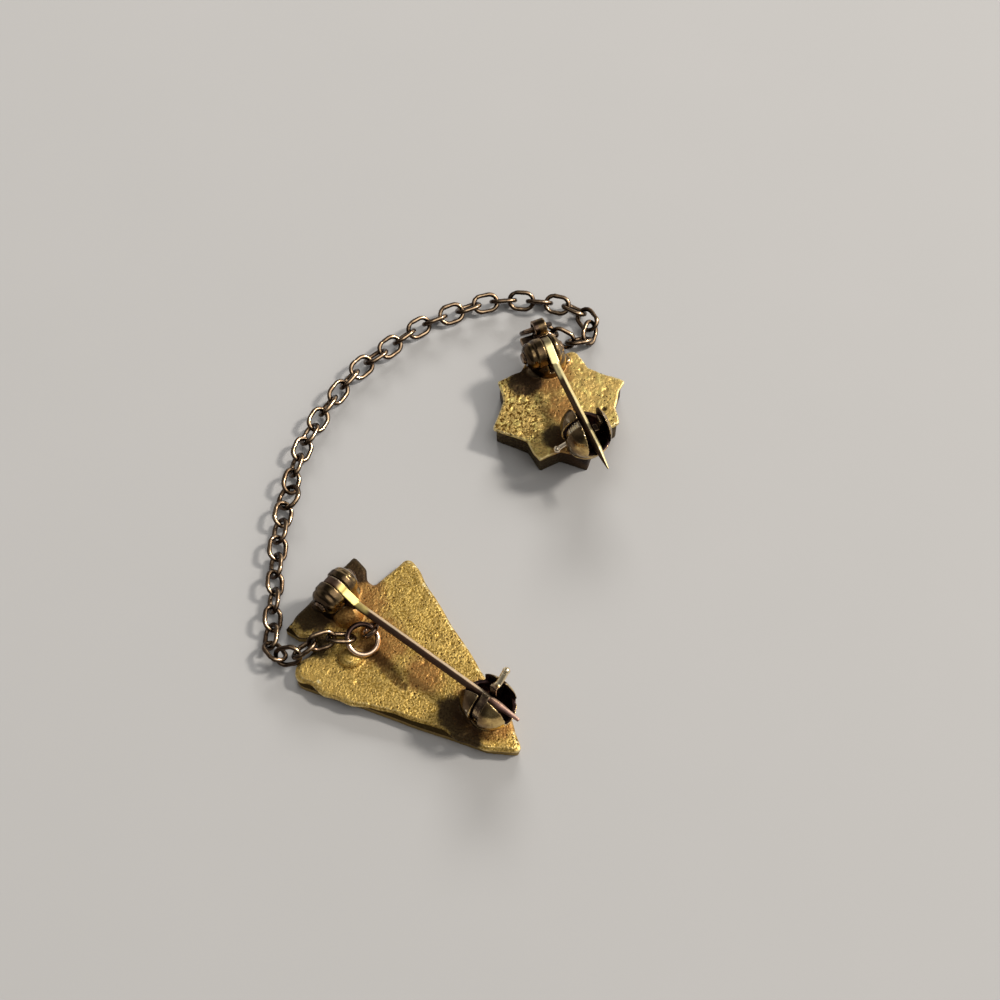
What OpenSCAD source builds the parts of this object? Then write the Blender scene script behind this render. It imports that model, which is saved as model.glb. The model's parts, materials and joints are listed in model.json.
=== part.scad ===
// A kite-shaped fraternity badge and its star-shaped guard pin, joined by a fine cable chain.
// Both lie face down, so that their plain backs, pins and safety catches show.
// Millimetres, Z up, with the underside of everything on Z = 0.

/* [Badge plate] */
// Length of the badge from its tip to the end of its block
badge_length = 18.8; // [17:0.1:20]
// Width of the badge across its two wings
badge_width = 12.6; // [11.6:0.1:13.4]
// Thickness of the badge
badge_thick = 1.1; // [0.9:0.05:1.4]

/* [Guard plate] */
// Mean distance of the star's points from its middle
star_radius = 5.2; // [4.8:0.05:5.6]
// Thickness of the star
guard_thick = 2.1; // [1.6:0.05:2.4]

/* [Plate backs] */
// Thickness of the flat back sheet of each plate
lip_thick = 0.3; // [0.25:0.05:0.6]
// How far the back sheet overhangs the body below it
lip_overhang = 0.14; // [0.1:0.02:0.34]

/* [Pins] */
// Diameter of the round pin stems
stem_d = 0.6; // [0.48:0.01:0.62]
// Height of the stems above the plate backs
stem_rise = 1.9; // [1.88:0.01:1.95]
// Width of the flat tongue in the joint
tongue_w = 0.64; // [0.56:0.02:0.7]
// Reach of the badge's pin from its joint to its point
badge_reach = 16.5; // [16:0.1:17]
// Reach of the guard's pin from its joint to its point
guard_reach = 11.45; // [11:0.05:12.2]

/* [Ball joints] */
// Radius of the round cheeks on the badge
badge_cheek_r = 1.2; // [1.15:0.05:1.3]
// Radius of the round cheeks on the guard
guard_cheek_r = 1.15; // [1.05:0.05:1.2]
// Diameter of the rivet that the pin turns on
rivet_d = 0.6; // [0.5:0.05:0.7]
// Running gap of the moving parts
running_gap = 0.05; // [0.03:0.01:0.07]

/* [Safety catches] */
// Radius of the two half balls of a catch
ball_r = 1.85; // [1.8:0.01:1.87]
// Wall of the half balls
ball_wall = 0.27; // [0.24:0.01:0.3]
// Width of the groove between the half balls
groove_w = 0.7; // [0.65:0.05:0.8]
// Reach of the slot from the pin towards the lower half of the ball
slot_near = 0.8; // [0.6:0.05:0.85]
// Reach of the slot from the pin towards the upper half of the ball
slot_far = 1.2; // [0.8:0.05:1.25]
// Width of the turning collars
collar_w = 0.58; // [0.5:0.01:0.6]
// Gap for the pin in the badge's collar
badge_gap = 0.72; // [0.7:0.02:0.8]
// Gap for the pin in the guard's collar
guard_gap = 1.5; // [1.2:0.05:1.6]
// Reach of the thumb levers from the middle of the collar
lever_reach = 2.9; // [2.6:0.05:2.95]

/* [Chain] */
// Outer length of a link
link_length = 2.3; // [2.26:0.01:2.34]
// Outer width of a link
link_width = 1.65; // [1.6:0.01:1.7]
// Diameter of the links' wire
link_wire = 0.3; // [0.29:0.01:0.32]
// Wished distance from link to link
link_pitch = 1.45; // [1.44:0.01:1.46]

/* [Hidden] */
$fn = 48;
wire_sides = 24;

// Middle of the laid-out jewel, which becomes the origin
layout_middle = [-3.865, -1.194, 0];

// Places in the layout: the badge's tip, the star's middle and the two joints, seen from above
badge_tip = [1.3, -20.5, 0];
badge_turn = -40.2;
guard_middle = [4.45, 7.2, 0];
badge_joint = [-11.75, -9.1, badge_thick];
badge_pin_turn = -37.6;
guard_joint = [3.63, 10.98, guard_thick];
guard_pin_turn = -67.6;

// Distance from the joint to the middle of the catch, and to the end of the flat tongue
badge_catch_x = 13.95;
guard_catch_x = 7.8;
badge_tongue_l = 1.9;
guard_tongue_l = 1.6;
// Sideways shift of the catches from the pins
catch_shift = -0.2;

// Direction of each thumb lever, up from the right-hand side across the pin, at rest
badge_lever_turn = 38;
guard_lever_turn = 208;

// Reach of each joint's cheeks from the pin, to the left and to the right of it
badge_cheeks = [1.75, 1.5];
guard_cheeks = [1.9, 1.0];
// Height of each joint's pivot above the pin's stem
badge_pivot_lift = 0.2;
guard_pivot_lift = -0.2;

// Half outline of the badge, the same on both sides of its axis but for the wings' corners
// columns: distance back from the tip, half width, corner radius on the right, on the left
badge_rows = [
    [0, 0, 0.3, 0.3],
    [1.8, 1.25, 1.5, 1.5],
    [15.9, badge_width / 2, 0.5, 0.95],
    [16.1, 2.85, 0.3, 0.3],
    [17.0, 2.8, 0.5, 0.5],
    [17.75, 3.45, 0.4, 0.4],
    [badge_length, 3.6, 0.12, 0.12]
];

// Outline of the star, a hand-cut one with uneven points
// columns: direction, radius as a share of star_radius, corner radius
star_rows = [
    [75.6, 1.00, 0.45], [55.3, 0.77, 0.15],
    [22.2, 1.05, 0.12], [-4.0, 0.82, 0.20],
    [-20.0, 0.95, 0.30], [-44.0, 0.78, 0.15],
    [-65.0, 1.03, 0.15], [-88.0, 0.78, 0.15],
    [-106.6, 0.98, 0.12], [-126.3, 0.78, 0.15],
    [-156.5, 1.03, 0.12], [-183.7, 0.80, 0.15],
    [-203.9, 0.98, 0.15], [-226.0, 0.78, 0.15],
    [-249.0, 1.02, 0.20], [-267.0, 0.78, 0.15]
];

// Ball joint: slot for the tongue, tongue disc, dome under the cheeks, cheeks and rivet heads
tongue_slot = tongue_w + 2 * running_gap;
tongue_inset = 0.12;
tongue_taper = 0.15;
dome_r = 1.5;
dome_rise = 0.3;
cheek_band = 0.45;
cheek_step = 0.1;
cheek_face_r = 0.66;
cheek_round = 0.42;
// Nose of the badge's joint, below the tongue
nose_at = [1.25, -0.4, 0.15];
nose_r = 1.1;
head_r = 0.5;
head_taper = 0.12;
head_h = 0.2;
rivet_gap = 0.02;
// Depth that soldered pieces sink into each other
sink = 0.05;

// Catch: the collar turns inside the hollow ball, and its lever runs in a groove round the ball
collar_bore_r = 0.6;
collar_r = ball_r - ball_wall - running_gap;
ball_stretch = 0.5;
// Start and end of each lever's groove, up from the right-hand side across the pin
badge_groove = [24, 226];
guard_groove = [84, 226];
slot_floor = stem_d / 2 + 0.15;
foot_r = 1.45;
foot_h = 0.24;
badge_lever_d = 0.5;
guard_lever_d = 0.34;
lever_ball_r = 0.28;
// Points of the pins: length of the taper and radius of its end
badge_point = [1.7, 0.13];
guard_point = [1.9, 0.05];

// Chain tube on a base plate behind the guard's joint, seen in that joint's frame
tube_at = [-2.5, 0.35, 1.2];
tube_r = 0.65;
tube_bore_r = 0.38;
tube_l = 1.0;
tube_base_at = [-2.48, -1.25, 0];
tube_base = [1.4, 2.3, 0.62];
guard_ring_r = 1.14;
guard_ring_lean = 60;
ring_wire = 0.32;

// Chain eye and solder boss on the badge, seen in the badge's joint frame
eye_at = [3.45, -0.45, 0.56];
eye_r = 0.72;
eye_wire = 0.4;
eye_lean = 50;
boss_at = [3.65, -3.05, 0];
boss_r = 0.6;
boss_h = 0.5;
boss_taper = 0.25;
badge_ring_r = 1.12;
badge_ring_at = [3.55, -1.47, 0.74];
badge_ring_lean = [0, 20, 0];

// The chain's route over the surface, from the guard's ring to the badge's ring, chosen by hand
rest_z = 0.78;
route = [
    [3.05, 14.85, 1.7], [4.2, 14.3, 1.2], [5.3, 13.75, 0.85], [6.4, 13.65, rest_z],
    [7.2, 14.5, rest_z], [7.15, 15.7, rest_z], [6.3, 16.6, rest_z], [4.7, 17.3, rest_z],
    [2.9, 17.55, rest_z], [0.6, 17.7, rest_z], [-1.5, 17.35, rest_z], [-3.6, 16.5, rest_z],
    [-6.3, 15.2, rest_z], [-8.8, 13.1, rest_z], [-11.0, 11.2, rest_z], [-12.8, 8.6, rest_z],
    [-14.1, 6.3, rest_z], [-15.1, 3.9, rest_z], [-15.6, 1.8, rest_z], [-16.0, -0.2, rest_z],
    [-16.35, -2.8, rest_z], [-16.5, -5.4, rest_z], [-16.5, -8.2, rest_z], [-16.5, -10.6, rest_z],
    [-16.6, -12.2, rest_z], [-16.2, -13.25, rest_z], [-15.3, -13.6, 1.43], [-14.1, -13.4, 1.77],
    [-13.15, -12.8, 2.3], [-11.9, -12.45, 2.2], [-10.65, -12.4, 2.0]
];
route_steps = 8;
// Link that is a round jump ring, where the chain was mended
mended_link = 27;
mended_turn = 120;
mended_r = 0.95;
mended_opening = 14;
mended_shift = 0.2;
mended_roll = 35;
// Tilt of the even and the odd links about the chain, and how much it wanders
even_roll = -38;
odd_roll = 52;
roll_wander = 8;
wander_step = 122;

function unit(v) = v / norm(v);

// Points of the arc that rounds the corner at q between p and s
function corner_arc(p, q, s, r, steps = 5) =
    let (
        to_p = unit(p - q),
        to_s = unit(s - q),
        half = acos(to_p * to_s) / 2,
        middle = q + unit(to_p + to_s) * r / sin(half),
        from = q + to_p * r / tan(half) - middle,
        to = q + to_s * r / tan(half) - middle,
        start = atan2(from[1], from[0]),
        sweep = (atan2(to[1], to[0]) - start + 540) % 360 - 180
    )
    [for (i = [0 : steps]) middle + r * [cos(start + sweep * i / steps), sin(start + sweep * i / steps)]];

// A closed outline of rows [x, y, corner radius] with every corner rounded
function rounded(rows) = [
    for (i = [0 : len(rows) - 1])
        let (
            before = rows[(i + len(rows) - 1) % len(rows)],
            here = rows[i],
            after = rows[(i + 1) % len(rows)]
        )
        each corner_arc([before[0], before[1]], [here[0], here[1]], [after[0], after[1]], here[2])
];

// The same rows with every side moved inward by d; the outline runs counterclockwise
function inset(rows, d) = [
    for (i = [0 : len(rows) - 1])
        let (
            before = rows[(i + len(rows) - 1) % len(rows)],
            here = rows[i],
            after = rows[(i + 1) % len(rows)],
            run_in = unit([here[0] - before[0], here[1] - before[1]]),
            run_out = unit([after[0] - here[0], after[1] - here[1]]),
            in_normal = [-run_in[1], run_in[0]],
            out_normal = [-run_out[1], run_out[0]],
            shift = (in_normal + out_normal) * d / (1 + in_normal * out_normal)
        )
        [here[0] + shift[0], here[1] + shift[1], here[2]]
];

// Catmull-Rom curve through the points of a route
function spline_point(a, b, c, d, t) =
    0.5 * (2 * b + (c - a) * t + (2 * a - 5 * b + 4 * c - d) * t * t + (3 * b - a - 3 * c + d) * t * t * t);
function spline(points) = [
    for (i = [0 : len(points) - 2], k = [0 : route_steps - 1])
        spline_point(
            points[max(i - 1, 0)], points[i], points[i + 1], points[min(i + 2, len(points) - 1)],
            k / route_steps
        ),
    points[len(points) - 1]
];
function travelled(points) = [
    for (i = 0, run = 0; i < len(points); i = i + 1,
         run = i < len(points) ? run + norm(points[i] - points[i - 1]) : run) run
];

badge_outline = concat(
    [for (row = badge_rows) [-row[0], -row[1], row[3]]],
    [for (i = [len(badge_rows) - 1 : -1 : 1]) [-badge_rows[i][0], badge_rows[i][1], badge_rows[i][2]]]
);
star_outline = [
    for (i = [len(star_rows) - 1 : -1 : 0])
        let (row = star_rows[i])
        [star_radius * row[1] * cos(row[0]), star_radius * row[1] * sin(row[0]), row[2]]
];

curve = spline(route);
curve_run = travelled(curve);
curve_length = curve_run[len(curve_run) - 1];
link_count = round(curve_length / link_pitch);
curve_x = [for (i = [0 : len(curve) - 1]) [curve_run[i], curve[i][0]]];
curve_y = [for (i = [0 : len(curve) - 1]) [curve_run[i], curve[i][1]]];
curve_z = [for (i = [0 : len(curve) - 1]) [curve_run[i], curve[i][2]]];
function along(s) = [lookup(s, curve_x), lookup(s, curve_y), lookup(s, curve_z)];

module laid_out() {
    translate(-layout_middle) children();
}

module at_badge_joint() {
    laid_out() translate(badge_joint) rotate([0, 0, badge_pin_turn]) children();
}

module at_guard_joint() {
    laid_out() translate(guard_joint) rotate([0, 0, guard_pin_turn]) children();
}

// A ring of round wire in the XY plane
module wire_ring(radius, wire, opening = 0) {
    rotate([0, 0, opening / 2])
        rotate_extrude(angle = 360 - opening) translate([radius, 0]) circle(d = wire, $fn = wire_sides);
}

// Flat back sheet over a body that is set in a little on every side
module plate(outline, thick) {
    translate([0, 0, thick - lip_thick]) linear_extrude(lip_thick) polygon(rounded(outline));
    linear_extrude(thick - lip_thick / 2) polygon(rounded(inset(outline, lip_overhang)));
}

// One cheek of a ball joint, turned about the pivot, from the tongue's slot out to its flat face
module cheek(radius, reach) {
    inner = tongue_slot / 2;
    band = inner + (reach - inner) * cheek_band;
    rotate_extrude() polygon([
        [0, inner],
        [radius, inner],
        [radius, band],
        [radius - cheek_step, band + cheek_step / 2],
        [radius - cheek_step, reach - cheek_round],
        [(radius - cheek_step + cheek_face_r) / 2 + cheek_step, reach - cheek_round / 2],
        [cheek_face_r, reach],
        [0, reach]
    ]);
}

// Ball joint around the pin's pivot, which lies along Y above the plate's back
module ball_joint(radius, cheeks, lift) {
    pivot_z = stem_rise + lift;
    reach_x = 2 * radius;
    difference() {
        union() {
            intersection() {
                translate([0, 0, dome_rise]) sphere(dome_r);
                translate([-reach_x, -reach_x, -sink]) cube([2 * reach_x, 2 * reach_x, 2 * reach_x]);
            }
            translate([0, 0, pivot_z]) rotate([90, 0, 0]) cheek(radius, cheeks[0]);
            translate([0, 0, pivot_z]) rotate([-90, 0, 0]) cheek(radius, cheeks[1]);
        }
        translate([-reach_x, -tongue_slot / 2, pivot_z - radius + tongue_inset - running_gap])
            cube([2 * reach_x, tongue_slot, 2 * reach_x]);
        translate([0, 0, pivot_z]) {
            rotate([90, 0, 0]) cylinder(h = 2 * reach_x, d = rivet_d + 2 * rivet_gap, center = true);
            rotate([90, 0, 0]) translate([0, 0, cheeks[0]]) cylinder(h = reach_x, r = head_r + rivet_gap);
            rotate([-90, 0, 0]) translate([0, 0, cheeks[1]]) cylinder(h = reach_x, r = head_r + rivet_gap);
        }
    }
}

// Rivet through both cheeks
module rivet(cheeks, lift) {
    translate([0, 0, stem_rise + lift]) {
        rotate([90, 0, 0]) half_rivet(cheeks[0]);
        rotate([-90, 0, 0]) half_rivet(cheeks[1]);
    }
}

module half_rivet(reach) {
    cylinder(h = reach + rivet_gap + sink, d = rivet_d);
    translate([0, 0, reach + rivet_gap]) cylinder(h = head_h, r1 = head_r, r2 = head_r - head_taper);
}

// Pin with a flat wedge-shaped tongue round the rivet, a round stem and a point
module pin(reach, tongue_l, tongue_r, lift, point) {
    taper = tongue_taper * tongue_r;
    translate([0, 0, stem_rise]) {
        difference() {
            rotate([90, 0, 0]) {
                translate([0, lift, 0]) cylinder(h = tongue_w, r = tongue_r, center = true);
                linear_extrude(tongue_w, center = true) polygon([
                    [taper, lift + tongue_r - sink / 2],
                    [tongue_l, stem_d / 2],
                    [tongue_l, -stem_d / 2],
                    [taper, lift - tongue_r + sink / 2]
                ]);
            }
            translate([0, 0, lift]) rotate([90, 0, 0])
                cylinder(h = 2 * tongue_w, d = rivet_d + 2 * running_gap, center = true);
        }
        translate([tongue_l - stem_d / 2, 0, 0]) rotate([0, 90, 0])
            cylinder(h = reach - point[0] - tongue_l + stem_d / 2, d = stem_d);
        translate([reach - point[0], 0, 0]) rotate([0, 90, 0])
            cylinder(h = point[0], r1 = stem_d / 2, r2 = point[1]);
    }
}

// Hollow ball in two halves on a round foot, slotted from above so that the pin drops in
module catch_housing(groove) {
    difference() {
        union() {
            translate([0, 0, stem_rise]) difference() {
                ball(ball_r);
                ball(ball_r - ball_wall);
                lever_groove(groove);
            }
            translate([0, 0, -sink]) cylinder(h = foot_h + sink, r = foot_r);
        }
        translate([-2 * ball_r, -catch_shift - slot_near, stem_rise - slot_floor])
            cube([4 * ball_r, slot_near + slot_far, 2 * ball_r]);
    }
}

// Two half balls with a short straight stretch between them
module ball(r) {
    for (side = [-1, 1]) translate([side * ball_stretch / 2, 0, 0]) sphere(r);
    rotate([0, 90, 0]) cylinder(h = ball_stretch, r = r, center = true);
}

// Wedge that cuts the lever's groove, a sector across the pin from one side over the top to the other
module lever_groove(groove) {
    far = 2 * ball_r;
    third = (groove[1] - groove[0]) / 3;
    rim = [for (i = [0 : 3]) far * [cos(groove[0] + i * third), sin(groove[0] + i * third)]];
    rotate([90, 0, 90]) linear_extrude(groove_w, center = true) polygon(concat([[0, 0]], rim));
}

// Turning collar with a gap for the pin at the top and a thumb lever on its rim
module collar(gap, lever_turn, lever_d) {
    translate([0, 0, stem_rise]) {
        difference() {
            rotate([0, 90, 0]) cylinder(h = collar_w, r = collar_r, center = true);
            rotate([0, 90, 0]) cylinder(h = 2 * collar_w, r = collar_bore_r, center = true);
            translate([-collar_w, -catch_shift - gap / 2, 0]) cube([2 * collar_w, gap, 2 * collar_r]);
        }
        rotate([lever_turn - 90, 0, 0]) {
            translate([0, 0, collar_r - lever_d]) cylinder(h = lever_reach - collar_r, d = lever_d);
            translate([0, 0, lever_reach - lever_ball_r]) sphere(lever_ball_r);
        }
    }
}

module badge() {
    color("#b8963e") {
        laid_out() translate(badge_tip) rotate([0, 0, badge_turn]) plate(badge_outline, badge_thick);
        at_badge_joint() {
            ball_joint(badge_cheek_r, badge_cheeks, badge_pivot_lift);
            nose();
            translate([badge_catch_x, catch_shift, 0]) catch_housing(badge_groove);
            translate(eye_at) rotate([0, -eye_lean, 0]) wire_ring(eye_r, eye_wire);
            boss();
        }
    }
}

// Rounded nose of the badge's joint
module nose() {
    intersection() {
        translate(nose_at) sphere(nose_r);
        translate([0, -2 * nose_r, -sink]) cube(4 * nose_r);
    }
}

// Drop of solder beside the chain's eye
module boss() {
    translate(boss_at - [0, 0, sink]) cylinder(h = boss_h + sink, r1 = boss_r, r2 = boss_r - boss_taper);
}

module guard() {
    color("#b8963e") {
        laid_out() translate(guard_middle) plate(star_outline, guard_thick);
        at_guard_joint() {
            ball_joint(guard_cheek_r, guard_cheeks, guard_pivot_lift);
            translate([guard_catch_x, catch_shift, 0]) catch_housing(guard_groove);
            chain_tube();
        }
    }
}

// Short tube for the chain's ring on a base plate that reaches out behind the guard's joint
module chain_tube() {
    difference() {
        union() {
            translate(tube_base_at) cube(tube_base);
            translate(tube_at) rotate([90, 0, 0]) cylinder(h = tube_l, r = tube_r, center = true);
        }
        translate(tube_at) rotate([90, 0, 0]) cylinder(h = 2 * tube_l, r = tube_bore_r, center = true);
    }
}

module badge_rivet() {
    color("#6b5332") at_badge_joint() rivet(badge_cheeks, badge_pivot_lift);
}

module guard_rivet() {
    color("#6b5332") at_guard_joint() rivet(guard_cheeks, guard_pivot_lift);
}

module badge_pin() {
    color("#d9b45c") at_badge_joint()
        pin(badge_reach, badge_tongue_l, badge_cheek_r - tongue_inset, badge_pivot_lift, badge_point);
}

module guard_pin() {
    color("#d9b45c") at_guard_joint()
        pin(guard_reach, guard_tongue_l, guard_cheek_r - tongue_inset, guard_pivot_lift, guard_point);
}

module badge_collar() {
    color("#7d6238") at_badge_joint() translate([badge_catch_x, catch_shift, 0])
        collar(badge_gap, badge_lever_turn, badge_lever_d);
}

module guard_collar() {
    color("#7d6238") at_guard_joint() translate([guard_catch_x, catch_shift, 0])
        collar(guard_gap, guard_lever_turn, guard_lever_d);
}

module badge_ring() {
    color("#8a6a48") at_badge_joint()
        translate(badge_ring_at) rotate(badge_ring_lean) wire_ring(badge_ring_r, ring_wire);
}

module guard_ring() {
    color("#8a6a48") at_guard_joint()
        translate(tube_at) rotate([0, -guard_ring_lean, 0]) translate([-guard_ring_r, 0, 0])
            wire_ring(guard_ring_r, ring_wire);
}

// One oval link in the XY plane, its length along X
module link() {
    bend_r = (link_width - link_wire) / 2;
    straight = link_length - link_width;
    for (side = [0, 180]) rotate([0, 0, side]) {
        translate([straight / 2, 0, 0]) rotate([0, 0, -90])
            rotate_extrude(angle = 180) translate([bend_r, 0]) circle(d = link_wire, $fn = wire_sides);
        translate([-straight / 2, bend_r, 0]) rotate([0, 90, 0])
            cylinder(h = straight, d = link_wire, $fn = wire_sides);
    }
}

module guard_chain() {
    color("#7a5c40") laid_out() for (i = [0 : link_count - 1]) {
        start = along(curve_length * i / link_count);
        end = along(curve_length * (i + 1) / link_count);
        way = end - start;
        roll = i == mended_link ? mended_roll
            : (i % 2 == 0 ? even_roll : odd_roll) + roll_wander * sin(i * wander_step);
        translate((start + end) / 2)
            rotate([0, -asin(way[2] / norm(way)), atan2(way[1], way[0])]) rotate([roll, 0, 0])
                if (i == mended_link) translate([0, mended_shift, 0]) rotate([0, 0, mended_turn])
                    wire_ring(mended_r, link_wire, mended_opening);
                else link();
    }
}

badge();
badge_rivet();
badge_pin();
badge_collar();
badge_ring();
guard();
guard_rivet();
guard_pin();
guard_collar();
guard_ring();
guard_chain();
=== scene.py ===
# A tarnished gold fraternity badge and its guard pin, lying face down on a pale surface.
import json
import math
from collections import namedtuple

import bmesh
import bpy
import numpy as np
from mathutils import Matrix, Vector
from mathutils.kdtree import KDTree


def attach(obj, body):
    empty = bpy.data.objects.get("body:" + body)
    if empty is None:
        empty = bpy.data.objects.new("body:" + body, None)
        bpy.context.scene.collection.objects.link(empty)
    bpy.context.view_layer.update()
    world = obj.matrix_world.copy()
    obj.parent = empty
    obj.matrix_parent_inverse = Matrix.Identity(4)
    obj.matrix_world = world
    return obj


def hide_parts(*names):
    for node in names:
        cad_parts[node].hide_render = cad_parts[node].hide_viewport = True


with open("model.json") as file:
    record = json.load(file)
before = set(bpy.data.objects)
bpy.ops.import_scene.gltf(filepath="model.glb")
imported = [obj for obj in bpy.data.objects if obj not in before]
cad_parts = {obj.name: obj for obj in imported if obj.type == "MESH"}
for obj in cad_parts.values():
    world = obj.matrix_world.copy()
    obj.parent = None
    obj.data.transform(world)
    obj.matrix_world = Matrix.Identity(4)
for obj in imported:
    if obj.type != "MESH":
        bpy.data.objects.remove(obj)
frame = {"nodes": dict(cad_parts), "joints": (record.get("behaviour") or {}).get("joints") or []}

# The jewel's own sizes and places are in millimetres, and what is multiplied by MM is in Blender's
# metres, as the sizes and the distance of the lights and the floor are
MM = 0.001
UP = Vector((0, 0, 1))
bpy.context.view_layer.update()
nodes = frame["nodes"]
joints = {joint["name"]: joint for joint in frame["joints"]}

# Camera, fitted to the photograph: the point that it looks at, its angle above the surface, its
# distance and its lens
VIEW_TARGET = Vector((3.865, 1.194, 0.0)) * MM
VIEW_ELEVATION = math.radians(61)
VIEW_DISTANCE = 150 * MM
VIEW_LENS = 71.55
SENSOR_WIDTH = 36.0

# Lights: the way from the jewel to each, its width and height, its power and its colour. All stand at
# the same distance.
Lamp = namedtuple("Lamp", "name way size power color")
KEY_LIGHT = Lamp("key_light", Vector((0.69, 0.2, 0.7)), (0.11, 0.11), 5.6, (1.0, 0.97, 0.93))
BACK_LIGHT = Lamp("back_light", Vector((0.05, 0.87, 0.42)), (0.5, 0.2), 6.5, (0.97, 0.98, 1.0))
LIGHT_DISTANCE = 0.9

# The room round the jewel: a way, and the strengths at a low and a high cosine of the angle from it.
# One side of the room is brighter, a part of its ceiling that the plates mirror is dark, and a part
# beside that is pale.
Shade = namedtuple("Shade", "way low high to_low to_high")
BRIGHT_SIDE = Shade(Vector((0.25, 0.9, 0.35)), -0.7, 0.9, 0.1, 0.85)
DARK_CEILING = Shade(Vector((-0.05, 0.46, 0.89)), 0.55, 0.93, 1.0, 0.1)
PALE_CEILING = Shade(Vector((0.5, -0.12, 0.86)), 0.8, 0.97, 0.0, 1.1)
ROOM_COLOR = (0.98, 0.985, 1.0, 1.0)

# The surface below the jewel: its size, how far it lies below the plates and its two nearly equal
# colours
FLOOR_SIZE = 4.0
FLOOR_GAP = 0.01 * MM
PAPER_DARK = (0.43, 0.413, 0.388)
PAPER_PALE = (0.445, 0.425, 0.4)

# Heights of the plates' backs, and how thick the sheet is whose ragged edge shows round each back
BADGE_BACK = 1.1
GUARD_BACK = 2.1
SHEET = 0.33
# Sizes of the grain on the backs, and depths there: the grain's as a share of its size, the pits' and
# the wide swells'
BADGE_GRAIN = 0.22
GUARD_GRAIN = 0.28
GRAIN_DEPTH = 0.065
PIT_DEPTH = 0.045
SWELL_DEPTH = 0.03
# Points of a front that are lower than the first are lowered by the second, but stay on the surface
FRONT_BAND = 0.06
FRONT_DROP = 0.03
# Voxels and smoothing rounds of the remeshed copies
BADGE_VOXEL = 0.075
GUARD_VOXEL = 0.07
PLATE_ROUNDS = 2
# Vertices of a CAD node that are closer than this are one
WELD = 0.0005

# A chain link: its length, width and wire, the points round it and round its wire, how much thinner
# its wire is at the soldered seam, the seam's half width, and how uneven the wire is
LINK_LENGTH = 2.22
LINK_WIDTH = 1.66
LINK_WIRE = 0.35
LINK_STEPS = 56
LINK_SIDES = 14
SEAM_DEPTH = 0.16
SEAM_WIDTH = 0.07
WIRE_UNEVEN = 0.05
# The mended link is the one whose length and width in the CAD differ by less than this. Its wire is
# thicker by a factor, and its ring is longer and wider than the CAD's by so much.
MENDED_ROUND = 0.3
MENDED_WIRE = 1.08
MENDED_LONGER = 0.04
MENDED_WIDER = 0.03
# How much heavier the jump rings are than the CAD's
RING_SWELL = 0.045

# The badge's thumb lever: its direction, turned up from across the pin, and its reach from the axis
LEVER_TURN = math.radians(38)
LEVER_REACH = 2.25
# The same for the guard's lever and for the middle of the teeth on its collar
GUARD_LEVER_TURN = math.radians(208)
GUARD_LEVER_REACH = 2.4
GUARD_TEETH_TURN = math.radians(136)
GUARD_TEETH_REACH = 1.5
# How far along the pins the middle of their flat tongues is
TONGUE_MIDDLE = 1.4
# The guard's teeth, in degrees round its collar: their first and last, and the step between them.
# Then their depth, the radii between which they begin, and the radius where they end.
TEETH_FIRST = 120
TEETH_LAST = 150
TOOTH_STEP = 8
TOOTH_DEPTH = 0.13
TEETH_INSIDE = (1.25, 1.45)
TEETH_OUTSIDE = 1.62

# The faces of a catch are those within a reach of its middle. Its hollow has a shorter reach, and
# begins at a height above the back. Faces that look inwards are hollow within one radius round the
# catch's axis, and all faces are within the other.
CATCH_REACH = 3.2
HOLLOW_REACH = 2.0
HOLLOW_RISE = 0.3
HOLLOW_WALL = 1.72
HOLLOW_CORE = 1.45
# Faces that are less than this above the back are the plate's
PLATE_RISE = 0.07


# Places on the jewel

# A pin: the place below its pivot, the directions along and across it, the middle of its catch, and
# the height of the plate's back that it is on
Pin = namedtuple("Pin", "start along across catch back")


def pin_on(hinge, collar, back):
    """A pin and its catch, from the joints that the pin and the catch's collar turn on."""
    pivot = Vector(joints[hinge]["pos_m"]) / MM
    along = Vector(joints[collar]["axis"]).normalized()
    catch = Vector(joints[collar]["pos_m"]) / MM
    return Pin(Vector((pivot.x, pivot.y, 0.0)), along, UP.cross(along), catch, back)


def at(pin, x, y, z=0.0):
    """A point x along and y across from a pin's pivot, at height z above the surface."""
    return pin.start + pin.along * x + pin.across * y + Vector((0, 0, z))


def on_back(pin, x, y, above=0.0):
    """A point x along and y across from a pin's pivot, at a height above the plate's back."""
    return at(pin, x, y, pin.back + above)


def round_catch(pin, turn, reach):
    """A point at a distance from a catch's axis, turned up from across the pin."""
    return pin.catch + pin.across * reach * math.cos(turn) + Vector((0, 0, reach * math.sin(turn)))


def laid(x, y, z=0.0):
    """A point given from the photograph's middle, X to the right and Y away from the camera."""
    return Vector((VIEW_TARGET.x / MM + x, VIEW_TARGET.y / MM + y, z))


badge_pin = pin_on("badge_pin_hinge", "badge_collar_turn", BADGE_BACK)
guard_pin = pin_on("guard_pin_hinge", "guard_collar_turn", GUARD_BACK)

# Rows of the tables below: a drop of solder with its three half sizes, a place round which the back
# is smoother, a scratch, a hole, a spot of colour (tarnish, painted shadow and others) that is full
# within one distance and gone beyond the other, and the faces within a reach of a place
Drop = namedtuple("Drop", "place radii turn", defaults=(0.0,))
Smoother = namedtuple("Smoother", "place inner outer")
Scratch = namedtuple("Scratch", "start end width depth")
Hole = namedtuple("Hole", "place radius depth")
Spot = namedtuple("Spot", "place inner outer")
Faces = namedtuple("Faces", "place reach")


# The badge's back

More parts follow.
